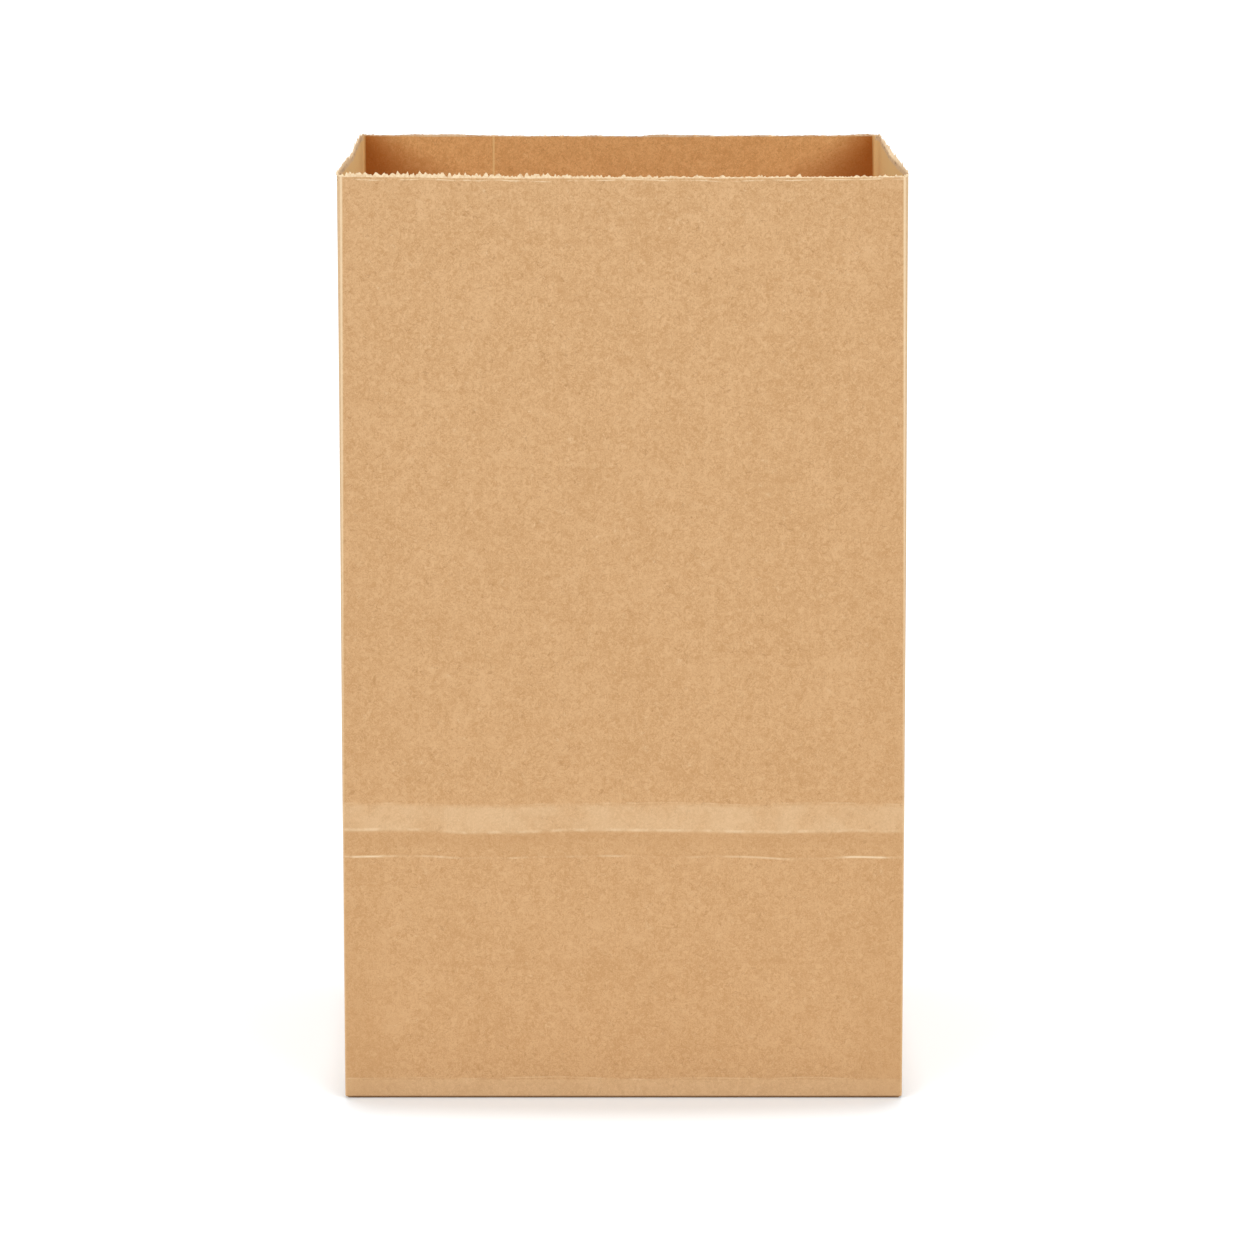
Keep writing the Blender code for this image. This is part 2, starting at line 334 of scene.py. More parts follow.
@dataclass
class BagSheet:
    """The sheet itself: walls and floor in one thin shell, and the flaps pasted underneath."""

    form: BagForm
    rim: TornEdge
    cell: float = 0.0024
    row_cell: float = 0.0039
    strip_rows: int = 2
    strip_cuts: int = 5
    fine: tuple = (0.00035, 0.0009, 0.0018, 0.0034)
    finishes: list = field(default_factory=list)
    across: int = 0
    along: int = 0

    def columns(self) -> np.ndarray:
        """Places of the sheet's columns round the bag."""
        form = self.form
        middle = form.width / 2.0
        lap = [middle - x * 1.008 for x in (form.lap_inside_x, form.lap_outside_x)]
        lap_fine = (form.lap_step / 2.0, form.lap_blend)
        front = stations(form.width, [0.0, form.width], self.cell, self.fine)
        side = stations(form.depth, [0.0, form.depth / 2.0, form.depth], self.cell, self.fine)
        plain = set(np.round(stations(form.width, [0.0, form.width], 1.0, self.fine), 7))
        marks = sorted(plain | {round(p + s * g, 7) for p in lap for g in lap_fine for s in (-1, 1)})
        back = [0.0]
        spare = len(front) - len(marks)
        gaps = np.diff(marks)
        shares = np.floor(spare * gaps / gaps.sum()).astype(int)
        shares[np.argmax(gaps)] += spare - shares.sum()
        for start, gap, extra in zip(marks, gaps, shares):
            back += [start + gap * (i + 1) / (extra + 1) for i in range(extra + 1)]
        self.across, self.along = len(front) - 1, len(side) - 1
        parts = [front, side[1:] + form.width, np.array(back[1:]) + form.width + form.depth]
        return np.concatenate(parts + [side[1:] + 2.0 * form.width + form.depth])

    def rows(self) -> np.ndarray:
        """Heights of the sheet's rows, up to the foot of the torn strip."""
        form = self.form
        creases = [form.crease_z, form.ridge_z, form.relaxed_z]
        wall = stations(form.height - self.rim.strip, creases, self.row_cell, self.fine)
        low = np.array([0.0, 0.0002, 0.0004, 0.00065, form.fold_radius, 0.0012])
        return np.concatenate([low, wall[wall > 0.0015]])

    def add_grid(self, name: str, across: int, along: int) -> bpy.types.Object:
        """Add a flat sheet whose points count its columns and rows from 0."""
        deselect_all()
        bpy.ops.mesh.primitive_grid_add(x_subdivisions=across, y_subdivisions=along, size=1.0)
        sheet = bpy.context.object
        sheet.name = name
        for vert in sheet.data.vertices:
            vert.co.x = (vert.co.x + 0.5) * across
            vert.co.y = (vert.co.y + 0.5) * along
        return sheet

    def refine_rim(self, sheet: bpy.types.Object, foot: float) -> None:
        """Subdivide the torn strip above a row of the flat sheet."""
        mesh = sheet.data
        bpy.ops.object.mode_set(mode="EDIT")
        bpy.ops.mesh.select_all(action="DESELECT")
        bpy.ops.object.mode_set(mode="OBJECT")
        for vert in mesh.vertices:
            vert.select = vert.co.y > foot - 0.5
        for edge in mesh.edges:
            edge.select = all(mesh.vertices[index].select for index in edge.vertices)
        for polygon in mesh.polygons:
            polygon.select = polygon.center.y > foot
        bpy.ops.object.mode_set(mode="EDIT")
        bpy.ops.mesh.subdivide(number_cuts=self.strip_cuts)
        bpy.ops.object.mode_set(mode="OBJECT")

    def make_wall(self) -> bpy.types.Object:
        """Lay out the wall's sheet, crease it and fold it round."""
        columns, rows = self.columns(), self.rows()
        foot = len(rows) - 1
        wall = self.add_grid("bag_wall", len(columns) - 1, foot + self.strip_rows)
        self.refine_rim(wall, foot)
        mesh = wall.data
        flat = np.zeros(len(mesh.vertices) * 3)
        mesh.vertices.foreach_get("co", flat)
        flat = flat.reshape(-1, 3)
        around = np.interp(flat[:, 0], np.arange(len(columns)), columns)
        share = np.clip((flat[:, 1] - foot) / self.strip_rows, 0.0, 1.0)
        z = np.interp(np.minimum(flat[:, 1], foot), np.arange(len(rows)), rows)
        ring = self.form.fold(around, np.full_like(around, self.form.height))
        out = self.form.from_front(around)
        line, teeth = self.rim.line(ring, out), self.rim.teeth(ring, out)
        below = np.minimum(share / self.rim.line_share, 1.0)
        torn = np.clip((share - self.rim.line_share) / (1.0 - self.rim.line_share), 0.0, 1.0)
        in_strip = share > 0.0
        z = np.where(in_strip, rows[-1] + (line - rows[-1]) * below + teeth * torn, z)
        points = self.form.fold(around, z)
        outward = self.outward(around)
        curl = self.rim.lift * torn * roughness_of(points, 0.0016, 12.0) + self.rim.flare(points, out) * torn
        points += outward * (self.form.swells(around, points) + curl)[:, None]
        self.write(wall, points, around, z, torn)
        return wall

    def outward(self, around: np.ndarray) -> np.ndarray:
        """The direction out of the panel at places round the bag."""
        form = self.form
        normals = np.zeros((len(around), 3))
        normals[:, 1] = -1.0
        normals[(around > form.width) & (around < form.width + form.depth)] = (1.0, 0.0, 0.0)
        on_back = (around >= form.width + form.depth) & (around <= 2.0 * form.width + form.depth)
        normals[on_back] = (0.0, 1.0, 0.0)
        normals[around > 2.0 * form.width + form.depth] = (-1.0, 0.0, 0.0)
        return normals

    def write(self, sheet: bpy.types.Object, points: np.ndarray, around: np.ndarray,
              up: np.ndarray, torn: np.ndarray) -> None:
        """Put a sheet's points in place and note where each lay on the flat paper.

        Args:
            sheet: the object to write to.
            points: where its points go.
            around: their places round the bag.
            up: their heights on the sheet.
            torn: how far into the torn fibres they are, from 0 to 1.
        """
        mesh = sheet.data
        corners = np.zeros(len(mesh.loops), int)
        mesh.loops.foreach_get("vertex_index", corners)
        while mesh.uv_layers:
            mesh.uv_layers.remove(mesh.uv_layers[0])
        layer = mesh.uv_layers.new(name=SHEET_MAP)
        layer.data.foreach_set("uv", np.stack([around, up], axis=1)[corners].ravel())
        mesh.attributes.new(TORN, "FLOAT", "POINT").data.foreach_set("value", torn)
        mesh.vertices.foreach_set("co", points.ravel())
        mesh.update()

    def make_floor(self) -> bpy.types.Object:
        """Lay out the floor between the walls' bottom folds."""
        form = self.form
        columns = self.columns()
        floor = self.add_grid("bag_floor", self.across, self.along)
        mesh = floor.data
        flat = np.array([vert.co[:] for vert in mesh.vertices])
        index = np.rint(flat[:, :2]).astype(int)
        ring = form.fold(columns, np.zeros(len(columns)))
        turn = self.across + self.along
        front = ring[index[:, 0]]
        back = ring[turn + self.across - index[:, 0]]
        right = ring[self.across + index[:, 1]]
        share = (right[:, 1] - right[:, 1].min()) / np.ptp(right[:, 1])
        points = front + (back - front) * share[:, None]
        inset = np.minimum(form.width / 2.0 - np.abs(points[:, 0]), form.depth / 2.0 - np.abs(points[:, 1]))
        lift = ramp(form.fold_radius, form.floor_border, inset)
        points[:, 2] = form.floor_lift * lift
        self.write(floor, points, points[:, 0] + form.width / 2.0, -form.depth / 2.0 - points[:, 1],
                   np.zeros(len(points)))
        return floor

    def join(self, wall: bpy.types.Object, floor: bpy.types.Object) -> bpy.types.Object:
        """Weld the floor into the wall and close the tube."""
        deselect_all()
        floor.select_set(True)
        wall.select_set(True)
        bpy.context.view_layer.objects.active = wall
        bpy.ops.object.join()
        bpy.ops.object.mode_set(mode="EDIT")
        bpy.ops.mesh.select_all(action="SELECT")
        bpy.ops.mesh.remove_doubles(threshold=0.000002)
        bpy.ops.mesh.normals_make_consistent(inside=False)
        bpy.ops.object.mode_set(mode="OBJECT")
        wall.name = wall.data.name = "bag_sheet"
        return wall

    def thicken(self, sheet: bpy.types.Object) -> None:
        """Give the sheet the paper's thickness, double along the glued lap."""
        form = self.form
        mesh = sheet.data
        group = sheet.vertex_groups.new(name="layers")
        group.add(list(range(len(mesh.vertices))), 0.5, "REPLACE")
        low, high = form.lap_inside_x, form.lap_outside_x
        reach = form.width / 2.0 - form.fold_radius
        doubled = []
        for vert in mesh.vertices:
            if vert.co.y < form.depth / 2.0 - 0.004 or vert.co.z < 0.0001:
                continue
            edge = float(form.back_edge(-1, np.array([vert.co.z]))[0])
            x = vert.co.x / edge * reach
            if low - form.lap_step / 4.0 < x < high:
                doubled.append(vert.index)
        group.add(doubled, 1.0, "REPLACE")
        solidify = sheet.modifiers.new("paper", "SOLIDIFY")
        solidify.thickness = 2.0 * form.paper
        solidify.vertex_group = group.name
        solidify.offset = -1.0
        solidify.use_even_offset = False
        solidify.use_rim = True
        solidify.material_offset = 1
        solidify.material_offset_rim = 2
        deselect_all()
        sheet.select_set(True)
        bpy.context.view_layer.objects.active = sheet
        bpy.ops.object.modifier_apply(modifier=solidify.name)
        bpy.ops.object.shade_smooth_by_angle(angle=math.radians(28.0))
        sheet.data.calc_loop_triangles()
        LOG.info("%s has %d triangles", sheet.name, len(sheet.data.loop_triangles))

    def make_flap(self, name: str, outline: list, low: float, high: float) -> bpy.types.Object:
        """Make one pasted flap under the base.

        Args:
            name: the piece's name.
            outline: its corners as (x, y) pairs, anticlockwise from above.
            low: height of its underside.
            high: height of its upper side.

        Returns:
            The flap, at the origin.
        """
        deselect_all()
        bpy.ops.mesh.primitive_plane_add(size=1.0)
        flap = bpy.context.object
        flap.name = flap.data.name = name
        corners = sorted(flap.data.vertices, key=lambda vert: math.atan2(vert.co.y, vert.co.x))
        for vert, (x, y) in zip(corners, outline):
            vert.co = (x, y, high)
        bpy.ops.object.mode_set(mode="EDIT")
        bpy.ops.mesh.select_all(action="SELECT")
        bpy.ops.mesh.extrude_region_move(TRANSFORM_OT_translate={"value": (0.0, 0.0, low - high)})
        bpy.ops.mesh.select_all(action="SELECT")
        bpy.ops.mesh.normals_make_consistent(inside=False)
        bpy.ops.mesh.bevel(offset=(high - low) * 0.25, segments=1)
        bpy.ops.object.mode_set(mode="OBJECT")
        bpy.ops.object.shade_smooth_by_angle(angle=math.radians(30.0))
        mesh = flap.data
        points = np.array([vert.co[:] for vert in mesh.vertices])
        form = self.form
        self.write(flap, points, points[:, 0] + form.width / 2.0, -form.depth / 2.0 - points[:, 1],
                   np.zeros(len(points)))
        return flap

    def make_flaps(self) -> list:
        """Make the two flaps that overlap across the middle of the base."""
        form = self.form
        x = form.width / 2.0 - form.floor_border - 0.0004
        y = form.depth / 2.0 - form.floor_border - 0.0004
        lap_y, under_y = -0.012, 0.012
        step = form.floor_lift / 2.0
        back = [(-x + (y - lap_y), lap_y), (x - (y - lap_y), lap_y), (x, y), (-x, y)]
        front = [(-x, -y), (x, -y), (x - (y + under_y), under_y), (-x + (y + under_y), under_y)]
        return [self.make_flap("base_flap_front", front, step, form.floor_lift + 0.00002),
                self.make_flap("base_flap_back", back, 0.0, step + 0.00001)]

    def build(self) -> list:
        """Build every piece of the bag.

        Returns:
            The pieces, dressed in their finishes.
        """
        sheet = self.join(self.make_wall(), self.make_floor())
        pieces = [sheet] + self.make_flaps()
        for piece in pieces:
            for finish in self.finishes:
                piece.data.materials.append(finish)
        self.thicken(sheet)
        return pieces


class Graph:
    """A tree of shader nodes under construction."""

    def __init__(self, tree: bpy.types.NodeTree) -> None:
        """Start on an existing tree."""
        self.tree = tree

    def put(self, socket: bpy.types.NodeSocket, value: object) -> None:
        """Link a socket to another, or set its value."""
        if isinstance(value, bpy.types.NodeSocket):
            self.tree.links.new(value, socket)
        else:
            socket.default_value = value

    def add(self, kind: str, values: dict | None = None, **settings: object) -> bpy.types.Node:
        """Add a node.

        Args:
            kind: the node's type without its ShaderNode prefix.
            values: what its inputs get, by name or number.
            settings: the node's own properties.

        Returns:
            The new node.
        """
        node = self.tree.nodes.new("ShaderNode" + kind)
        for name, value in settings.items():
            setattr(node, name, value)
        for name, value in (values or {}).items():
            self.put(node.inputs[name], value)
        return node

    def sum(self, operation: str, first: object, second: object = 0.0, clamp: bool = False) -> object:
        """Work out one step of arithmetic and return its result socket."""
        return self.add("Math", {0: first, 1: second}, operation=operation, use_clamp=clamp).outputs[0]

    def product(self, *factors: object) -> object:
        """Multiply several values together."""
        result = factors[0]
        for factor in factors[1:]:
            result = self.sum("MULTIPLY", result, factor)
        return result

    def between(self, value: object, low: object, high: object, start: float = 0.0,
                end: float = 1.0) -> object:
        """Rise smoothly from start at low to end at high."""
        node = self.add("MapRange", {"Value": value, "From Min": low, "From Max": high,
                                     "To Min": start, "To Max": end}, interpolation_type="SMOOTHSTEP")
        return node.outputs["Result"]

    def mix(self, share: object, first: object, second: object, blend: str = "MIX") -> object:
        """Mix two colours."""
        node = self.add("Mix", data_type="RGBA", blend_type=blend)
        self.put(node.inputs[0], share)
        self.put(node.inputs[6], first)
        self.put(node.inputs[7], second)
        return node.outputs[2]

    def noise(self, vector: object, size: float, detail: float = 2.0, rough: float = 0.5,
              warp: float = 0.0) -> object:
        """Smooth noise whose swells are a given size, in the units of the vector."""
        node = self.add("TexNoise", {"Vector": vector, "Scale": 1.0 / size, "Detail": detail,
                                     "Roughness": rough, "Distortion": warp})
        return node.outputs[0]


def new_group(name: str, inputs: dict, outputs: list) -> tuple:
    """Start a node group.

    Args:
        name: the group's name.
        inputs: socket types by input name.
        outputs: names of its outputs, all plain values.

    Returns:
        The group's tree, its graph, its input node and its output node.
    """
    tree = bpy.data.node_groups.new(name, "ShaderNodeTree")
    for label, kind in inputs.items():
        tree.interface.new_socket(name=label, in_out="INPUT", socket_type=kind)
    for label in outputs:
        tree.interface.new_socket(name=label, in_out="OUTPUT", socket_type="NodeSocketFloat")
    return tree, Graph(tree), tree.nodes.new("NodeGroupInput"), tree.nodes.new("NodeGroupOutput")


class KraftPulp:
    """The paper's formation: clouds, mottling, short curved fibres, specks and wire marks."""

    def __init__(self) -> None:
        """Build the node group."""
        self.tree, graph, given, result = new_group(
            "kraft_pulp", {"Place": "NodeSocketVector", "Sheet": "NodeSocketVector"},
            ["Cloud", "Mottle", "Wisp", "Dark Fibre", "Pale Fibre", "Speck", "Wire", "Height"])
        place = given.outputs["Place"]
        cloud = graph.noise(place, 0.013, 3.0, 0.55)
        patch = graph.noise(place, 0.0034, 2.0, 0.6, 0.5)
        grain = graph.noise(place, 0.00065, 2.0, 0.7, 1.6)
        mottle = graph.sum("ADD", graph.product(patch, 0.22), graph.product(grain, 0.78))
        wisps = graph.sum("SUBTRACT", self.fibres(graph, place, 0.0019, 0.05, 0.0022, 0.45, 3.0),
                          self.fibres(graph, place, 0.0017, 0.05, 0.0024, 0.45, 9.0))
        dark = self.fibres(graph, place, 0.0021, 0.02, 0.0024, 0.54)
        pale = self.fibres(graph, place, 0.0019, 0.014, 0.0022, 0.56, 5.0)
        spots = graph.add("TexVoronoi", {"Vector": place, "Scale": 110.0, "Randomness": 1.0})
        chosen = graph.add("SeparateColor", {0: spots.outputs["Color"]}).outputs[0]
        near = graph.between(spots.outputs["Distance"], 0.022, 0.038, 1.0, 0.0)
        speck = graph.product(near, graph.sum("GREATER_THAN", chosen, 0.72))
        across = graph.add("SeparateXYZ", {0: given.outputs["Sheet"]}).outputs[0]
        lines = graph.sum("SINE", graph.product(across, 2.0 * math.pi / 0.00056))
        faint = graph.between(graph.noise(place, 0.009, 1.0), 0.35, 0.7)
        fine = graph.noise(place, 0.00035, 2.0, 0.7)
        height = graph.sum("ADD", graph.product(grain, 0.6), graph.product(fine, 0.4))
        values = {"Cloud": cloud, "Mottle": mottle, "Wisp": wisps, "Dark Fibre": dark,
                  "Pale Fibre": pale, "Speck": speck, "Wire": graph.product(lines, faint), "Height": height}
        for label, value in values.items():
            graph.put(result.inputs[label], value)

    def fibres(self, graph: Graph, place: object, size: float, thin: float, patch: float,
               rare: float, shift: float = 0.0) -> object:
        """Thin curved strokes, cut short by patches.

        Args:
            graph: the tree to build in.
            place: position socket.
            size: size of the curves.
            thin: half width of a stroke, as a share of the noise's range.
            patch: size of the patches that cut the strokes.
            rare: how far up the noise a patch starts.
            shift: moves the pattern.

        Returns:
            A mask socket.
        """
        moved = graph.add("VectorMath", {0: place, 1: (shift, shift, shift)}, operation="ADD").outputs[0]
        curve = graph.noise(moved, size, 1.0, 0.5, 0.8)
        gap = graph.sum("ABSOLUTE", graph.sum("SUBTRACT", curve, 0.5))
        stroke = graph.between(gap, thin * 0.3, thin, 1.0, 0.0)
        window = graph.between(graph.noise(moved, patch, 2.0, 0.5), rare, rare + 0.06)
        return graph.product(stroke, window)


@dataclass
class FoldWearAndPaintedLight:
    """Where the sheet is rubbed pale along its creases and torn at its rim, and where painted shade and
    painted light stand in for how light falls on its folds, corners, rim and base.
    """

    form: BagForm
    crease_half: float = 0.00042
    corner_half: float = 0.0006
    slant_strength: float = 0.6
    foot_z: float = 0.0057
    foot_half: float = 0.00028
    foot_strip_z: tuple = (0.0052, 0.0056)
    contact_shade_z: tuple = (0.0003, 0.0008)
    old_fold_z: float = 0.0388
    edge_shade_width: float = 0.022
    low_shade_top: float = 0.3
    corner_shade_reach: float = 0.015
    corner_shade_slope: float = 2.4
    corner_shade_width: float = 0.011
    lip_light_reach: float = 0.035
    peel_reach: float = 0.0017
    gap_shade_reach: float = 0.0016
    tear_below: float = 0.00075
    fade: float = 0.0005

    def __post_init__(self) -> None:
        """Build the node group for a bag of the given form."""
        form = self.form
        self.tree, self.graph, given, result = new_group(
            "fold_wear_and_painted_light", {"Sheet": "NodeSocketVector", "Place": "NodeSocketVector"},
            ["Pale", "Painted Highlight And Base Strip", "Shade", "Painted Corner Shade", "Seam", "Painted Lip Light", "Peel", "Painted Gap Shade", "Tear", "Painted Contact Shade", "Height"])
        graph = self.graph
        parts = graph.add("SeparateXYZ", {0: given.outputs["Sheet"]})
        self.around, self.up = parts.outputs[0], parts.outputs[1]
        self.place = given.outputs["Place"]
        self.corner, self.middle, self.rear = form.crease_places()
        self.out = self.from_front()
        self.below = graph.sum("SUBTRACT", form.height, self.up)
        self.high = graph.sum("ADD", self.up, self.drift(0.03, 0.0022))
        self.ahead = graph.between(self.out, self.middle, self.middle + self.fade, 1.0, 0.0)
        self.fading = graph.between(self.out, self.corner + 0.01, self.middle, 1.0, 0.0)
        self.on_side = graph.product(graph.sum("GREATER_THAN", self.out, self.corner + 0.0004),
                                     graph.sum("LESS_THAN", self.out, self.rear - 0.0004))
        self.on_front = graph.sum("LESS_THAN", self.out, self.corner)
        self.worn = graph.between(graph.noise(self.place, 0.009, 3.0, 0.6), 0.38, 0.62, 0.1, 1.0)
        self.broken = graph.between(graph.noise(self.place, 0.005, 3.0, 0.6), 0.4, 0.62)
        crease, foot = self.crease(), self.foot()
        lap_place = 1.5 * form.width + form.depth - form.lap_inside_x
        marks = {"Pale": self.greatest(self.upright(), crease, self.ridge_lines(), self.slant(), foot),
                 "Painted Highlight And Base Strip": self.highlight_and_base_strips(), "Shade": self.shades(), "Painted Corner Shade": self.painted_corner_shades(),
                 "Seam": self.line(self.around, lap_place, 0.00045),
                 # Painted light on the gussets' inner faces, fading down from the rim.
                 "Painted Lip Light": graph.product(graph.between(self.below, 0.0, self.lip_light_reach, 1.0, 0.0), self.on_side),
                 "Peel": self.peel(), "Painted Gap Shade": self.gaps(), "Tear": self.tear(),
                 # Painted shade: a thin dark line along the bottom fold where the bag meets the floor.
                 "Painted Contact Shade": graph.between(self.up, *self.contact_shade_z, 1.0, 0.0),
                 "Height": self.greatest(crease, graph.product(foot, 0.6))}
        for label, value in marks.items():
            graph.put(result.inputs[label], value)

    def line(self, coordinate: object, place: float, half: float) -> object:
        """A soft line where a coordinate passes a place."""
        graph = self.graph
        gap = graph.sum("ABSOLUTE", graph.sum("SUBTRACT", coordinate, place))
        return graph.between(gap, half * 0.25, half, 1.0, 0.0)

    def greatest(self, *marks: object) -> object:
        """The strongest of several marks at each point."""
        result = marks[0]
        for mark in marks[1:]:
            result = self.graph.sum("MAXIMUM", result, mark)
        return result

    def drift(self, size: float, reach: float, detail: float = 2.0, rough: float = 0.5) -> object:
        """A wander about 0, which keeps a mark from being dead straight."""
        swell = self.graph.noise(self.place, size, detail, rough)
        return self.graph.product(self.graph.sum("SUBTRACT", swell, 0.5), reach)

    def from_front(self) -> object:
        """Distance round the bag from the middle of the front panel."""
        graph, form = self.graph, self.form
        turned = graph.sum("SUBTRACT", self.around, form.width / 2.0 - form.girth / 2.0)
        wrapped = graph.sum("FLOORED_MODULO", turned, form.girth)
        return graph.sum("ABSOLUTE", graph.sum("SUBTRACT", wrapped, form.girth / 2.0))

    def upright(self) -> object:
        """Rubbed lines down the upright creases, and a softer pale strip beside the front corners, partly
        painted light where the gusset turns away from the light.
        """
        graph, form = self.graph, self.form
        tops = graph.between(self.up, form.crease_z * 0.5, form.height, 0.35, 1.0)
        front = graph.product(self.line(self.out, self.corner, self.corner_half), tops)
        back = graph.product(self.line(self.out, self.rear, 0.0007), 0.9)
        inner = graph.product(self.line(self.out, self.middle, 0.0005), 0.7,
                              graph.between(self.up, form.crease_z - 0.001, form.crease_z))
        # Pale strip beside the front corners, partly painted light on the gusset edge that turns away from
        # the light.
        beside = graph.product(self.line(self.out, self.corner + 0.0014, 0.0018), 0.5, tops)
        return self.greatest(front, back, inner, beside)

    def crease(self) -> object:
        """The sharp crease across the front, palest near its ends."""
        graph = self.graph
        gap = graph.sum("ABSOLUTE", graph.sum("SUBTRACT", self.out, self.corner))
        ends = graph.between(gap, 0.0, 0.05, 1.0, 0.4)
        mark = self.line(self.high, self.form.crease_z, self.crease_half)
        return graph.product(mark, self.ahead, ends, self.worn)

    def ridge_lines(self) -> object:
        """Broken pale lines along the crest of the ridge and where it flattens out above."""
        graph, form = self.graph, self.form
        crest = graph.product(self.line(self.high, form.ridge_z + 0.0005, 0.0006), 0.42)
        brow = graph.product(self.line(self.high, form.relaxed_z + 0.0004, 0.0003), 0.3)
        return graph.product(self.greatest(crest, brow), self.ahead, self.broken)

    def slant(self) -> object:
        """The gussets' slanting creases, from the bottom corners up to the middle crease."""
        graph, form = self.graph, self.form
        gap = graph.sum("ABSOLUTE", graph.sum("SUBTRACT", self.out, self.middle))
        lean = graph.product(gap, form.crease_z / (form.depth / 2.0))
        mark = self.line(graph.sum("ADD", self.up, lean), form.crease_z, 0.0006)
        past = graph.between(self.out, self.corner + 0.001, self.corner + 0.002)
        return graph.product(mark, self.slant_strength, past)

    def foot(self) -> object:
        """The faint pale line just above the base."""
        return self.graph.product(self.line(self.high, self.foot_z, self.foot_half), 0.3, self.worn)

    def highlight_and_base_strips(self) -> object:
        """Paler strips: painted highlight on the upward-facing strip above the ridge, and a paler strip along
        the base.
        """
        graph, form = self.graph, self.form
        patchy = graph.between(graph.noise(self.place, 0.011, 3.0, 0.6), 0.3, 0.65, 0.45, 1.0)
        start = graph.between(self.high, form.ridge_z - 0.0006, form.ridge_z + 0.0006)
        end = graph.between(self.high, form.relaxed_z - 0.0009, form.relaxed_z + 0.0009, 1.0, 0.0)
        # Painted highlight where the strip above the ridge faces up to the light.
        painted_highlight = graph.product(start, end, self.fading, patchy)
        strip = graph.product(graph.between(self.up, *self.foot_strip_z, 1.0, 0.0), 0.6)
        return self.greatest(painted_highlight, strip)

    def shades(self) -> object:
        """Painted shade: darker strips below the ridge, under the creases, beside the corners and low down.
        """
        graph, form = self.graph, self.form
        start = graph.between(self.high, form.crease_z, form.ridge_z - 0.001)
        end = graph.between(self.high, form.ridge_z - 0.0002, form.ridge_z + 0.0006, 1.0, 0.0)
        # Painted shade on the downward-facing band below the ridge.
        ridge_underside_shade = graph.product(start, end, self.fading, 0.8)
        old_fold_shade = graph.product(self.line(self.high, self.old_fold_z, 0.0009), self.ahead, 0.5)
        # Painted shade in the crease lines.
        under = graph.product(self.line(self.high, form.crease_z + 0.0007, 0.0006), self.ahead, 0.5)
        # Painted shade toward the front panel's side edges.
        edge = graph.product(graph.between(self.out, self.corner - self.edge_shade_width, self.corner), 0.9,
                             graph.between(self.up, 0.01, form.crease_z, 1.0, 0.25), self.on_front)
        # Painted shade, darker towards the bottom.
        low = graph.between(self.up, 0.0, self.low_shade_top, 1.0, 0.0)
        return graph.sum("ADD", self.greatest(ridge_underside_shade, old_fold_shade, under, edge), low)

    def painted_corner_shades(self) -> object:
        """Painted shade in the inner corners beside the upright creases, wider further down from the rim."""
        graph = self.graph
        reach = graph.product(graph.sum("MINIMUM", self.below, self.corner_shade_reach), self.corner_shade_slope)
        beside = self.greatest(graph.sum("SUBTRACT", self.out, self.rear),
                               graph.sum("SUBTRACT", self.corner, self.out))
        share = graph.sum("DIVIDE", beside, graph.sum("ADD", reach, self.corner_shade_width))
        return graph.product(graph.between(share, 0.0, 1.0, 1.0, 0.0), graph.sum("GREATER_THAN", beside, 0.0))

    def peel(self) -> object:
        """The bare torn strip along the gussets' rims."""
        graph, foot = self.graph, self.form.height - self.peel_reach
        torn_up = graph.sum("ADD", self.up, self.drift(0.0013, 0.0018, 3.0, 0.6))
        return graph.product(graph.between(torn_up, foot, foot + self.fade), self.on_side)

    def gaps(self) -> object:
        """Painted shade: small dark gaps between the torn fibres of the gussets."""
        graph, height = self.graph, self.form.height
        foot = height - self.gap_shade_reach
        holes = graph.between(graph.noise(self.place, 0.0012, 2.0, 0.5), 0.59, 0.63)
        return graph.product(holes, graph.between(self.up, foot, foot + 0.0004),
                             graph.between(self.up, height - 0.0004, height, 1.0, 0.0), self.on_side)

    def tear(self) -> object:
        """The broken second tear line just under the front rim."""
        graph = self.graph
        line_up = graph.sum("ADD", self.up, self.drift(0.014, 0.0016))
        below_line = graph.sum("SUBTRACT", self.form.height - self.tear_below, line_up)
        return graph.product(self.line(below_line, 0.0, 0.00022), self.broken, self.on_front)


class Face(Enum):
    """The three kinds of paper face that the bag shows."""

    OUTSIDE = "kraft_outside"
    INSIDE = "kraft_inside"
    EDGE = "kraft_torn_edge"


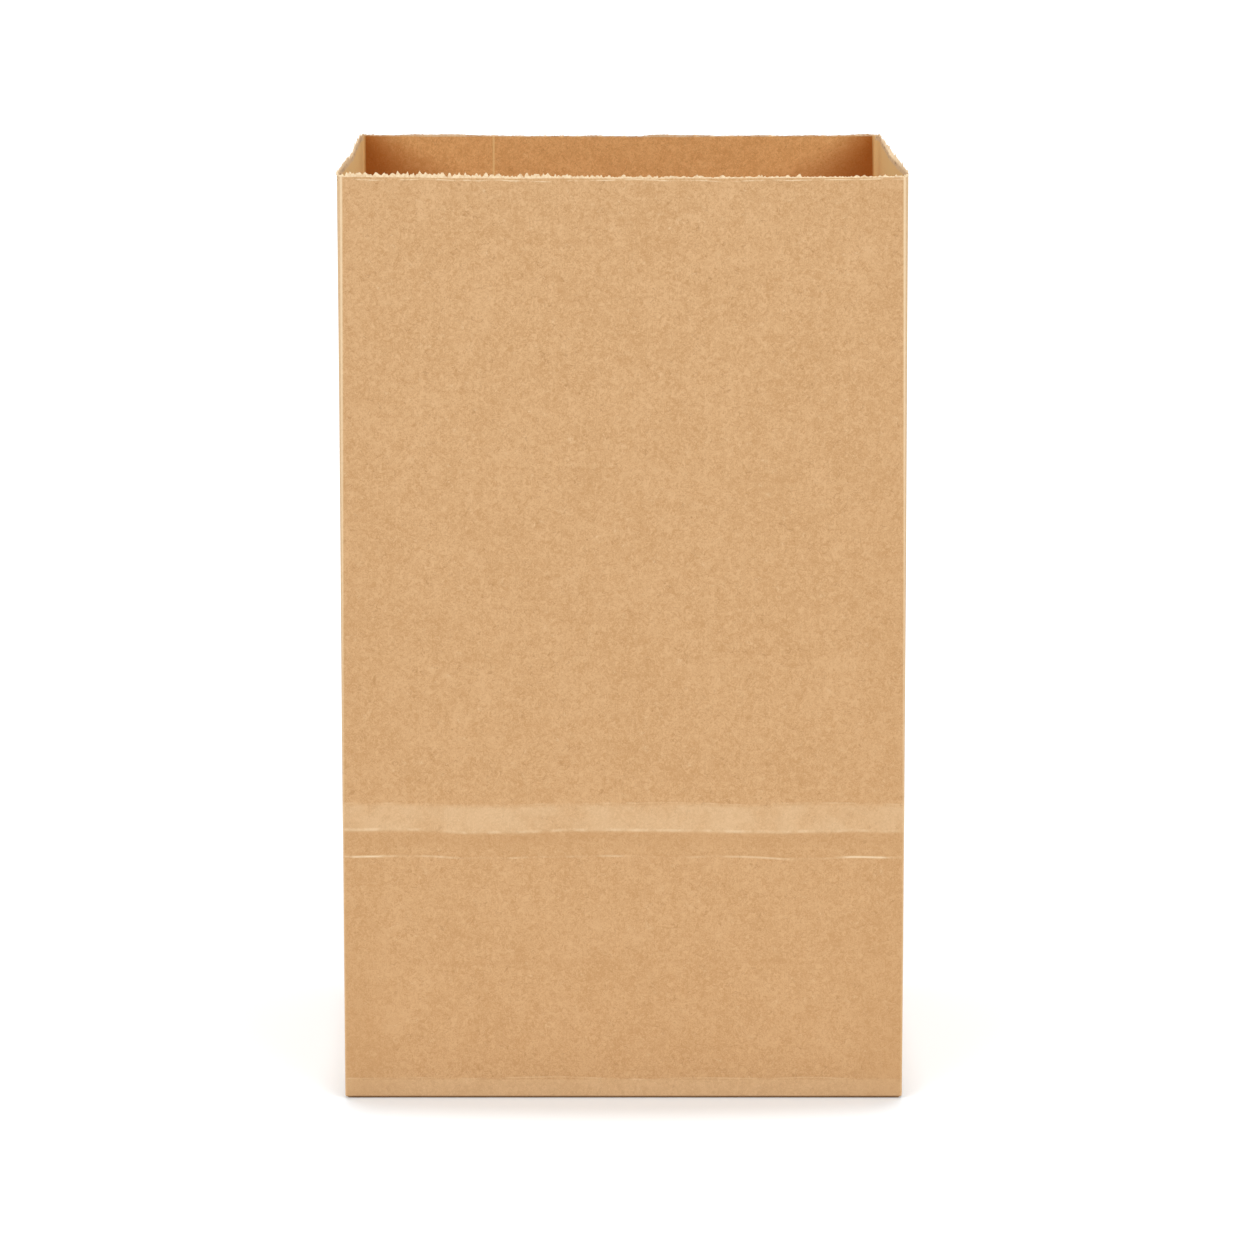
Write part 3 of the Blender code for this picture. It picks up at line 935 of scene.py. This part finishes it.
@dataclass(frozen=True)
class KraftFinish:
    """Unbleached kraft paper, with its colours as linear values; some colours and marks are painted light and
    shade.
    """

    face: Face
    pulp: bpy.types.NodeTree
    wear_and_painted_light: bpy.types.NodeTree
    base: tuple = (0.610, 0.360, 0.172, 1.0)
    deep: tuple = (0.508, 0.278, 0.120, 1.0)
    light: tuple = (0.714, 0.449, 0.240, 1.0)
    fibre: tuple = (0.36, 0.185, 0.07, 1.0)
    # Bare fibre colour, also the colour of the painted highlight above the ridge.
    bare_fibre_and_painted_highlight: tuple = (0.88, 0.68, 0.44, 1.0)
    # Painted light: a brighter, more orange inner face, standing in for light bounced around inside the bag.
    painted_bounce_warmth: tuple = (1.33, 1.24, 1.0, 1.0)
    # Deep orange-brown of the painted shade in the inner corners.
    painted_corner_shade: tuple = (0.4, 0.11, 0.008, 1.0)
    # Pale inner colour, used for rubbed marks inside and for the painted light on the gussets' inner faces.
    pale_inner_and_painted_light: tuple = (1.0, 0.72, 0.33, 1.0)
    # Dark colour of the painted shade in the torn gaps and along the bottom fold.
    gap: tuple = (0.16, 0.07, 0.025, 1.0)
    roughness: float = 0.86
    roughness_swing: float = 0.05
    specular: float = 0.06

    def build(self) -> bpy.types.Material:
        """Make the material for this face of the paper."""
        material = bpy.data.materials.new(self.face.value)
        material.use_nodes = True
        graph = Graph(material.node_tree)
        shader = material.node_tree.nodes["Principled BSDF"]
        place = graph.add("TexCoord").outputs["Object"]
        sheet = graph.add("UVMap", uv_map=SHEET_MAP).outputs[0]
        pulp = graph.add("Group", node_tree=self.pulp)
        wear_and_painted_light = graph.add("Group", node_tree=self.wear_and_painted_light)
        for group in (pulp, wear_and_painted_light):
            graph.put(group.inputs["Place"], place)
            graph.put(group.inputs["Sheet"], sheet)
        tone = graph.sum("ADD", graph.product(pulp.outputs["Cloud"], 0.16),
                         graph.product(pulp.outputs["Mottle"], 0.84))
        tone = graph.sum("ADD", tone, graph.product(pulp.outputs["Wire"], 0.014))
        tone = graph.sum("ADD", tone, graph.product(pulp.outputs["Wisp"], 0.11))
        colour = graph.mix(graph.between(tone, 0.355, 0.645), self.deep, self.light)
        colour = graph.mix(0.35, colour, self.base)
        colour = graph.mix(graph.product(pulp.outputs["Dark Fibre"], 0.42), colour, self.fibre)
        colour = graph.mix(graph.product(pulp.outputs["Pale Fibre"], 0.26), colour, self.bare_fibre_and_painted_highlight)
        colour = graph.mix(graph.product(pulp.outputs["Speck"], 0.6), colour, self.fibre)
        if self.face is Face.OUTSIDE:
            # Painted highlight: the upward-facing strip above the ridge lightened toward the bare fibre
            # colour, with the paler strip along the base.
            colour = graph.mix(graph.product(wear_and_painted_light.outputs["Painted Highlight And Base Strip"], 0.34), colour, self.bare_fibre_and_painted_highlight)
            # Painted shade: the darker strips pull the colour toward the deep tone.
            colour = graph.mix(graph.product(wear_and_painted_light.outputs["Shade"], 0.26), colour, self.deep)
            colour = graph.mix(graph.product(wear_and_painted_light.outputs["Tear"], 0.7), colour, self.bare_fibre_and_painted_highlight)
            # Painted shade: a thin dark line along the bottom fold where the bag meets the floor.
            colour = graph.mix(graph.product(wear_and_painted_light.outputs["Painted Contact Shade"], 0.75), colour, self.gap)
        if self.face is Face.INSIDE:
            # Painted light: the whole inner face multiplied brighter and more orange, for light bounced
            # inside the bag.
            colour = graph.mix(1.0, colour, self.painted_bounce_warmth, "MULTIPLY")
            # Painted shade in the inner corners, standing in for the shadow of the walls.
            colour = graph.mix(graph.product(wear_and_painted_light.outputs["Painted Corner Shade"], 0.86), colour, self.painted_corner_shade)
            # Painted light: the gussets' inner faces lightened down from the rim.
            colour = graph.mix(graph.product(wear_and_painted_light.outputs["Painted Lip Light"], 0.9), colour, self.pale_inner_and_painted_light)
            colour = graph.mix(graph.product(wear_and_painted_light.outputs["Seam"], 0.6), colour, self.pale_inner_and_painted_light)
            colour = graph.mix(graph.product(wear_and_painted_light.outputs["Peel"], 0.8), colour, self.bare_fibre_and_painted_highlight)
        rubbed, bare = (0.75, self.bare_fibre_and_painted_highlight) if self.face is Face.OUTSIDE else (0.7, self.pale_inner_and_painted_light)
        colour = graph.mix(graph.product(wear_and_painted_light.outputs["Pale"], rubbed), colour, bare)
        torn = graph.add("Attribute", attribute_name=TORN).outputs["Fac"]
        ragged = graph.between(torn, 0.02, 0.12)
        if self.face is Face.EDGE:
            ragged = 0.85
        frayed = graph.between(graph.noise(place, 0.0008, 3.0, 0.6), 0.3, 0.62, 0.45, 1.0)
        colour = graph.mix(graph.product(ragged, frayed), colour, self.bare_fibre_and_painted_highlight)
        # Painted shade seen through the gaps between the torn fibres.
        colour = graph.mix(graph.product(wear_and_painted_light.outputs["Painted Gap Shade"], 0.6), colour, self.gap)
        graph.put(shader.inputs["Base Color"], colour)
        rough = graph.between(pulp.outputs["Mottle"], 0.35, 0.65, self.roughness - self.roughness_swing,
                              self.roughness + self.roughness_swing)
        graph.put(shader.inputs["Roughness"], rough)
        shader.inputs["Specular IOR Level"].default_value = self.specular
        height = graph.sum("ADD", graph.product(pulp.outputs["Height"], 0.5),
                           graph.product(pulp.outputs["Dark Fibre"], 0.25))
        height = graph.sum("SUBTRACT", height, graph.product(wear_and_painted_light.outputs["Height"], 0.8))
        bump = graph.add("Bump", {"Height": height, "Strength": 0.35, "Distance": 0.00012})
        graph.put(shader.inputs["Normal"], bump.outputs[0])
        return material


@dataclass
class Studio:
    """A plain pale floor, soft light from above and the camera."""

    distance: float = 1.203
    camera_height: float = 0.372
    aside: float = 0.00093
    tilt: float = math.radians(11.84)
    lens: float = 126.0
    sky: float = 0.5
    key: tuple = (0.92, math.radians(52.0), math.radians(45.0))
    key_turn: float = math.radians(50.0)
    top: tuple = (1.3, math.radians(-3.0), math.radians(5.0))

    def plain(self, name: str, colour: tuple) -> bpy.types.Material:
        """A matt material of one colour, for the floor."""
        material = bpy.data.materials.new(name)
        material.use_nodes = True
        shader = material.node_tree.nodes["Principled BSDF"]
        shader.inputs["Base Color"].default_value = colour
        shader.inputs["Roughness"].default_value = 1.0
        shader.inputs["Specular IOR Level"].default_value = 0.0
        return material

    def add_floor(self) -> None:
        """Lay the floor that the bag stands on."""
        deselect_all()
        bpy.ops.mesh.primitive_plane_add(size=40.0)
        floor = bpy.context.object
        floor.name = "floor"
        floor.data.materials.append(self.plain("pale_floor", (0.93, 0.97, 1.0, 1.0)))

    def add_sky(self) -> None:
        """Light everything evenly with a white surround."""
        world = bpy.data.worlds.new("studio")
        world.use_nodes = True
        background = world.node_tree.nodes["Background"]
        background.inputs["Color"].default_value = (1.0, 1.0, 1.0, 1.0)
        background.inputs["Strength"].default_value = self.sky
        bpy.context.scene.world = world

    def add_softbox(self, name: str, strength: float, lean: float, spread: float, turn: float = 0.0) -> None:
        """Light the bag evenly from above.

        Args:
            name: the light's name.
            strength: how strong it is.
            lean: how far it comes from the front, as an angle from straight above.
            spread: its angle across, wider for softer shadows.
            turn: how far it stands to the right of the front, as an angle.
        """
        lamp = bpy.data.lights.new(name, "SUN")
        lamp.energy = strength
        lamp.angle = spread
        light = bpy.data.objects.new(name, lamp)
        light.location = (0.0, 0.0, 2.0)
        light.rotation_euler = (lean, 0.0, turn)
        bpy.context.scene.collection.objects.link(light)

    def add_camera(self) -> None:
        """Set up the camera."""
        data = bpy.data.cameras.new("camera")
        data.lens = self.lens
        data.sensor_width = 36.0
        data.clip_start = 0.05
        data.clip_end = 60.0
        camera = bpy.data.objects.new("camera", data)
        camera.location = (self.aside, -self.distance, self.camera_height)
        camera.rotation_euler = (math.pi / 2.0 - self.tilt, 0.0, 0.0)
        bpy.context.scene.collection.objects.link(camera)
        bpy.context.scene.camera = camera

    def build(self) -> None:
        """Set up the whole studio."""
        self.add_floor()
        self.add_sky()
        self.add_softbox("key_right", *self.key, self.key_turn)
        self.add_softbox("key_left", *self.key, -self.key_turn)
        self.add_softbox("top", *self.top)
        self.add_camera()
        bpy.context.scene.view_settings.view_transform = "Standard"


def main() -> None:
    """Build the bag and its studio."""
    logging.basicConfig(level=logging.INFO, format="%(name)s: %(message)s")
    low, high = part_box(NODE)
    form = BagForm(width=high.x - low.x, depth=0.112, height=0.252)
    pulp, wear_and_painted_light = KraftPulp(), FoldWearAndPaintedLight(form)
    finishes = [KraftFinish(face, pulp.tree, wear_and_painted_light.tree).build() for face in Face]
    for piece in BagSheet(form, TornEdge(form), finishes=finishes).build():
        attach(piece, BODY)
        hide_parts(NODE)
        LOG.info("placed %s", piece.name)
    Studio().build()


if __name__ == "__main__":
    main()
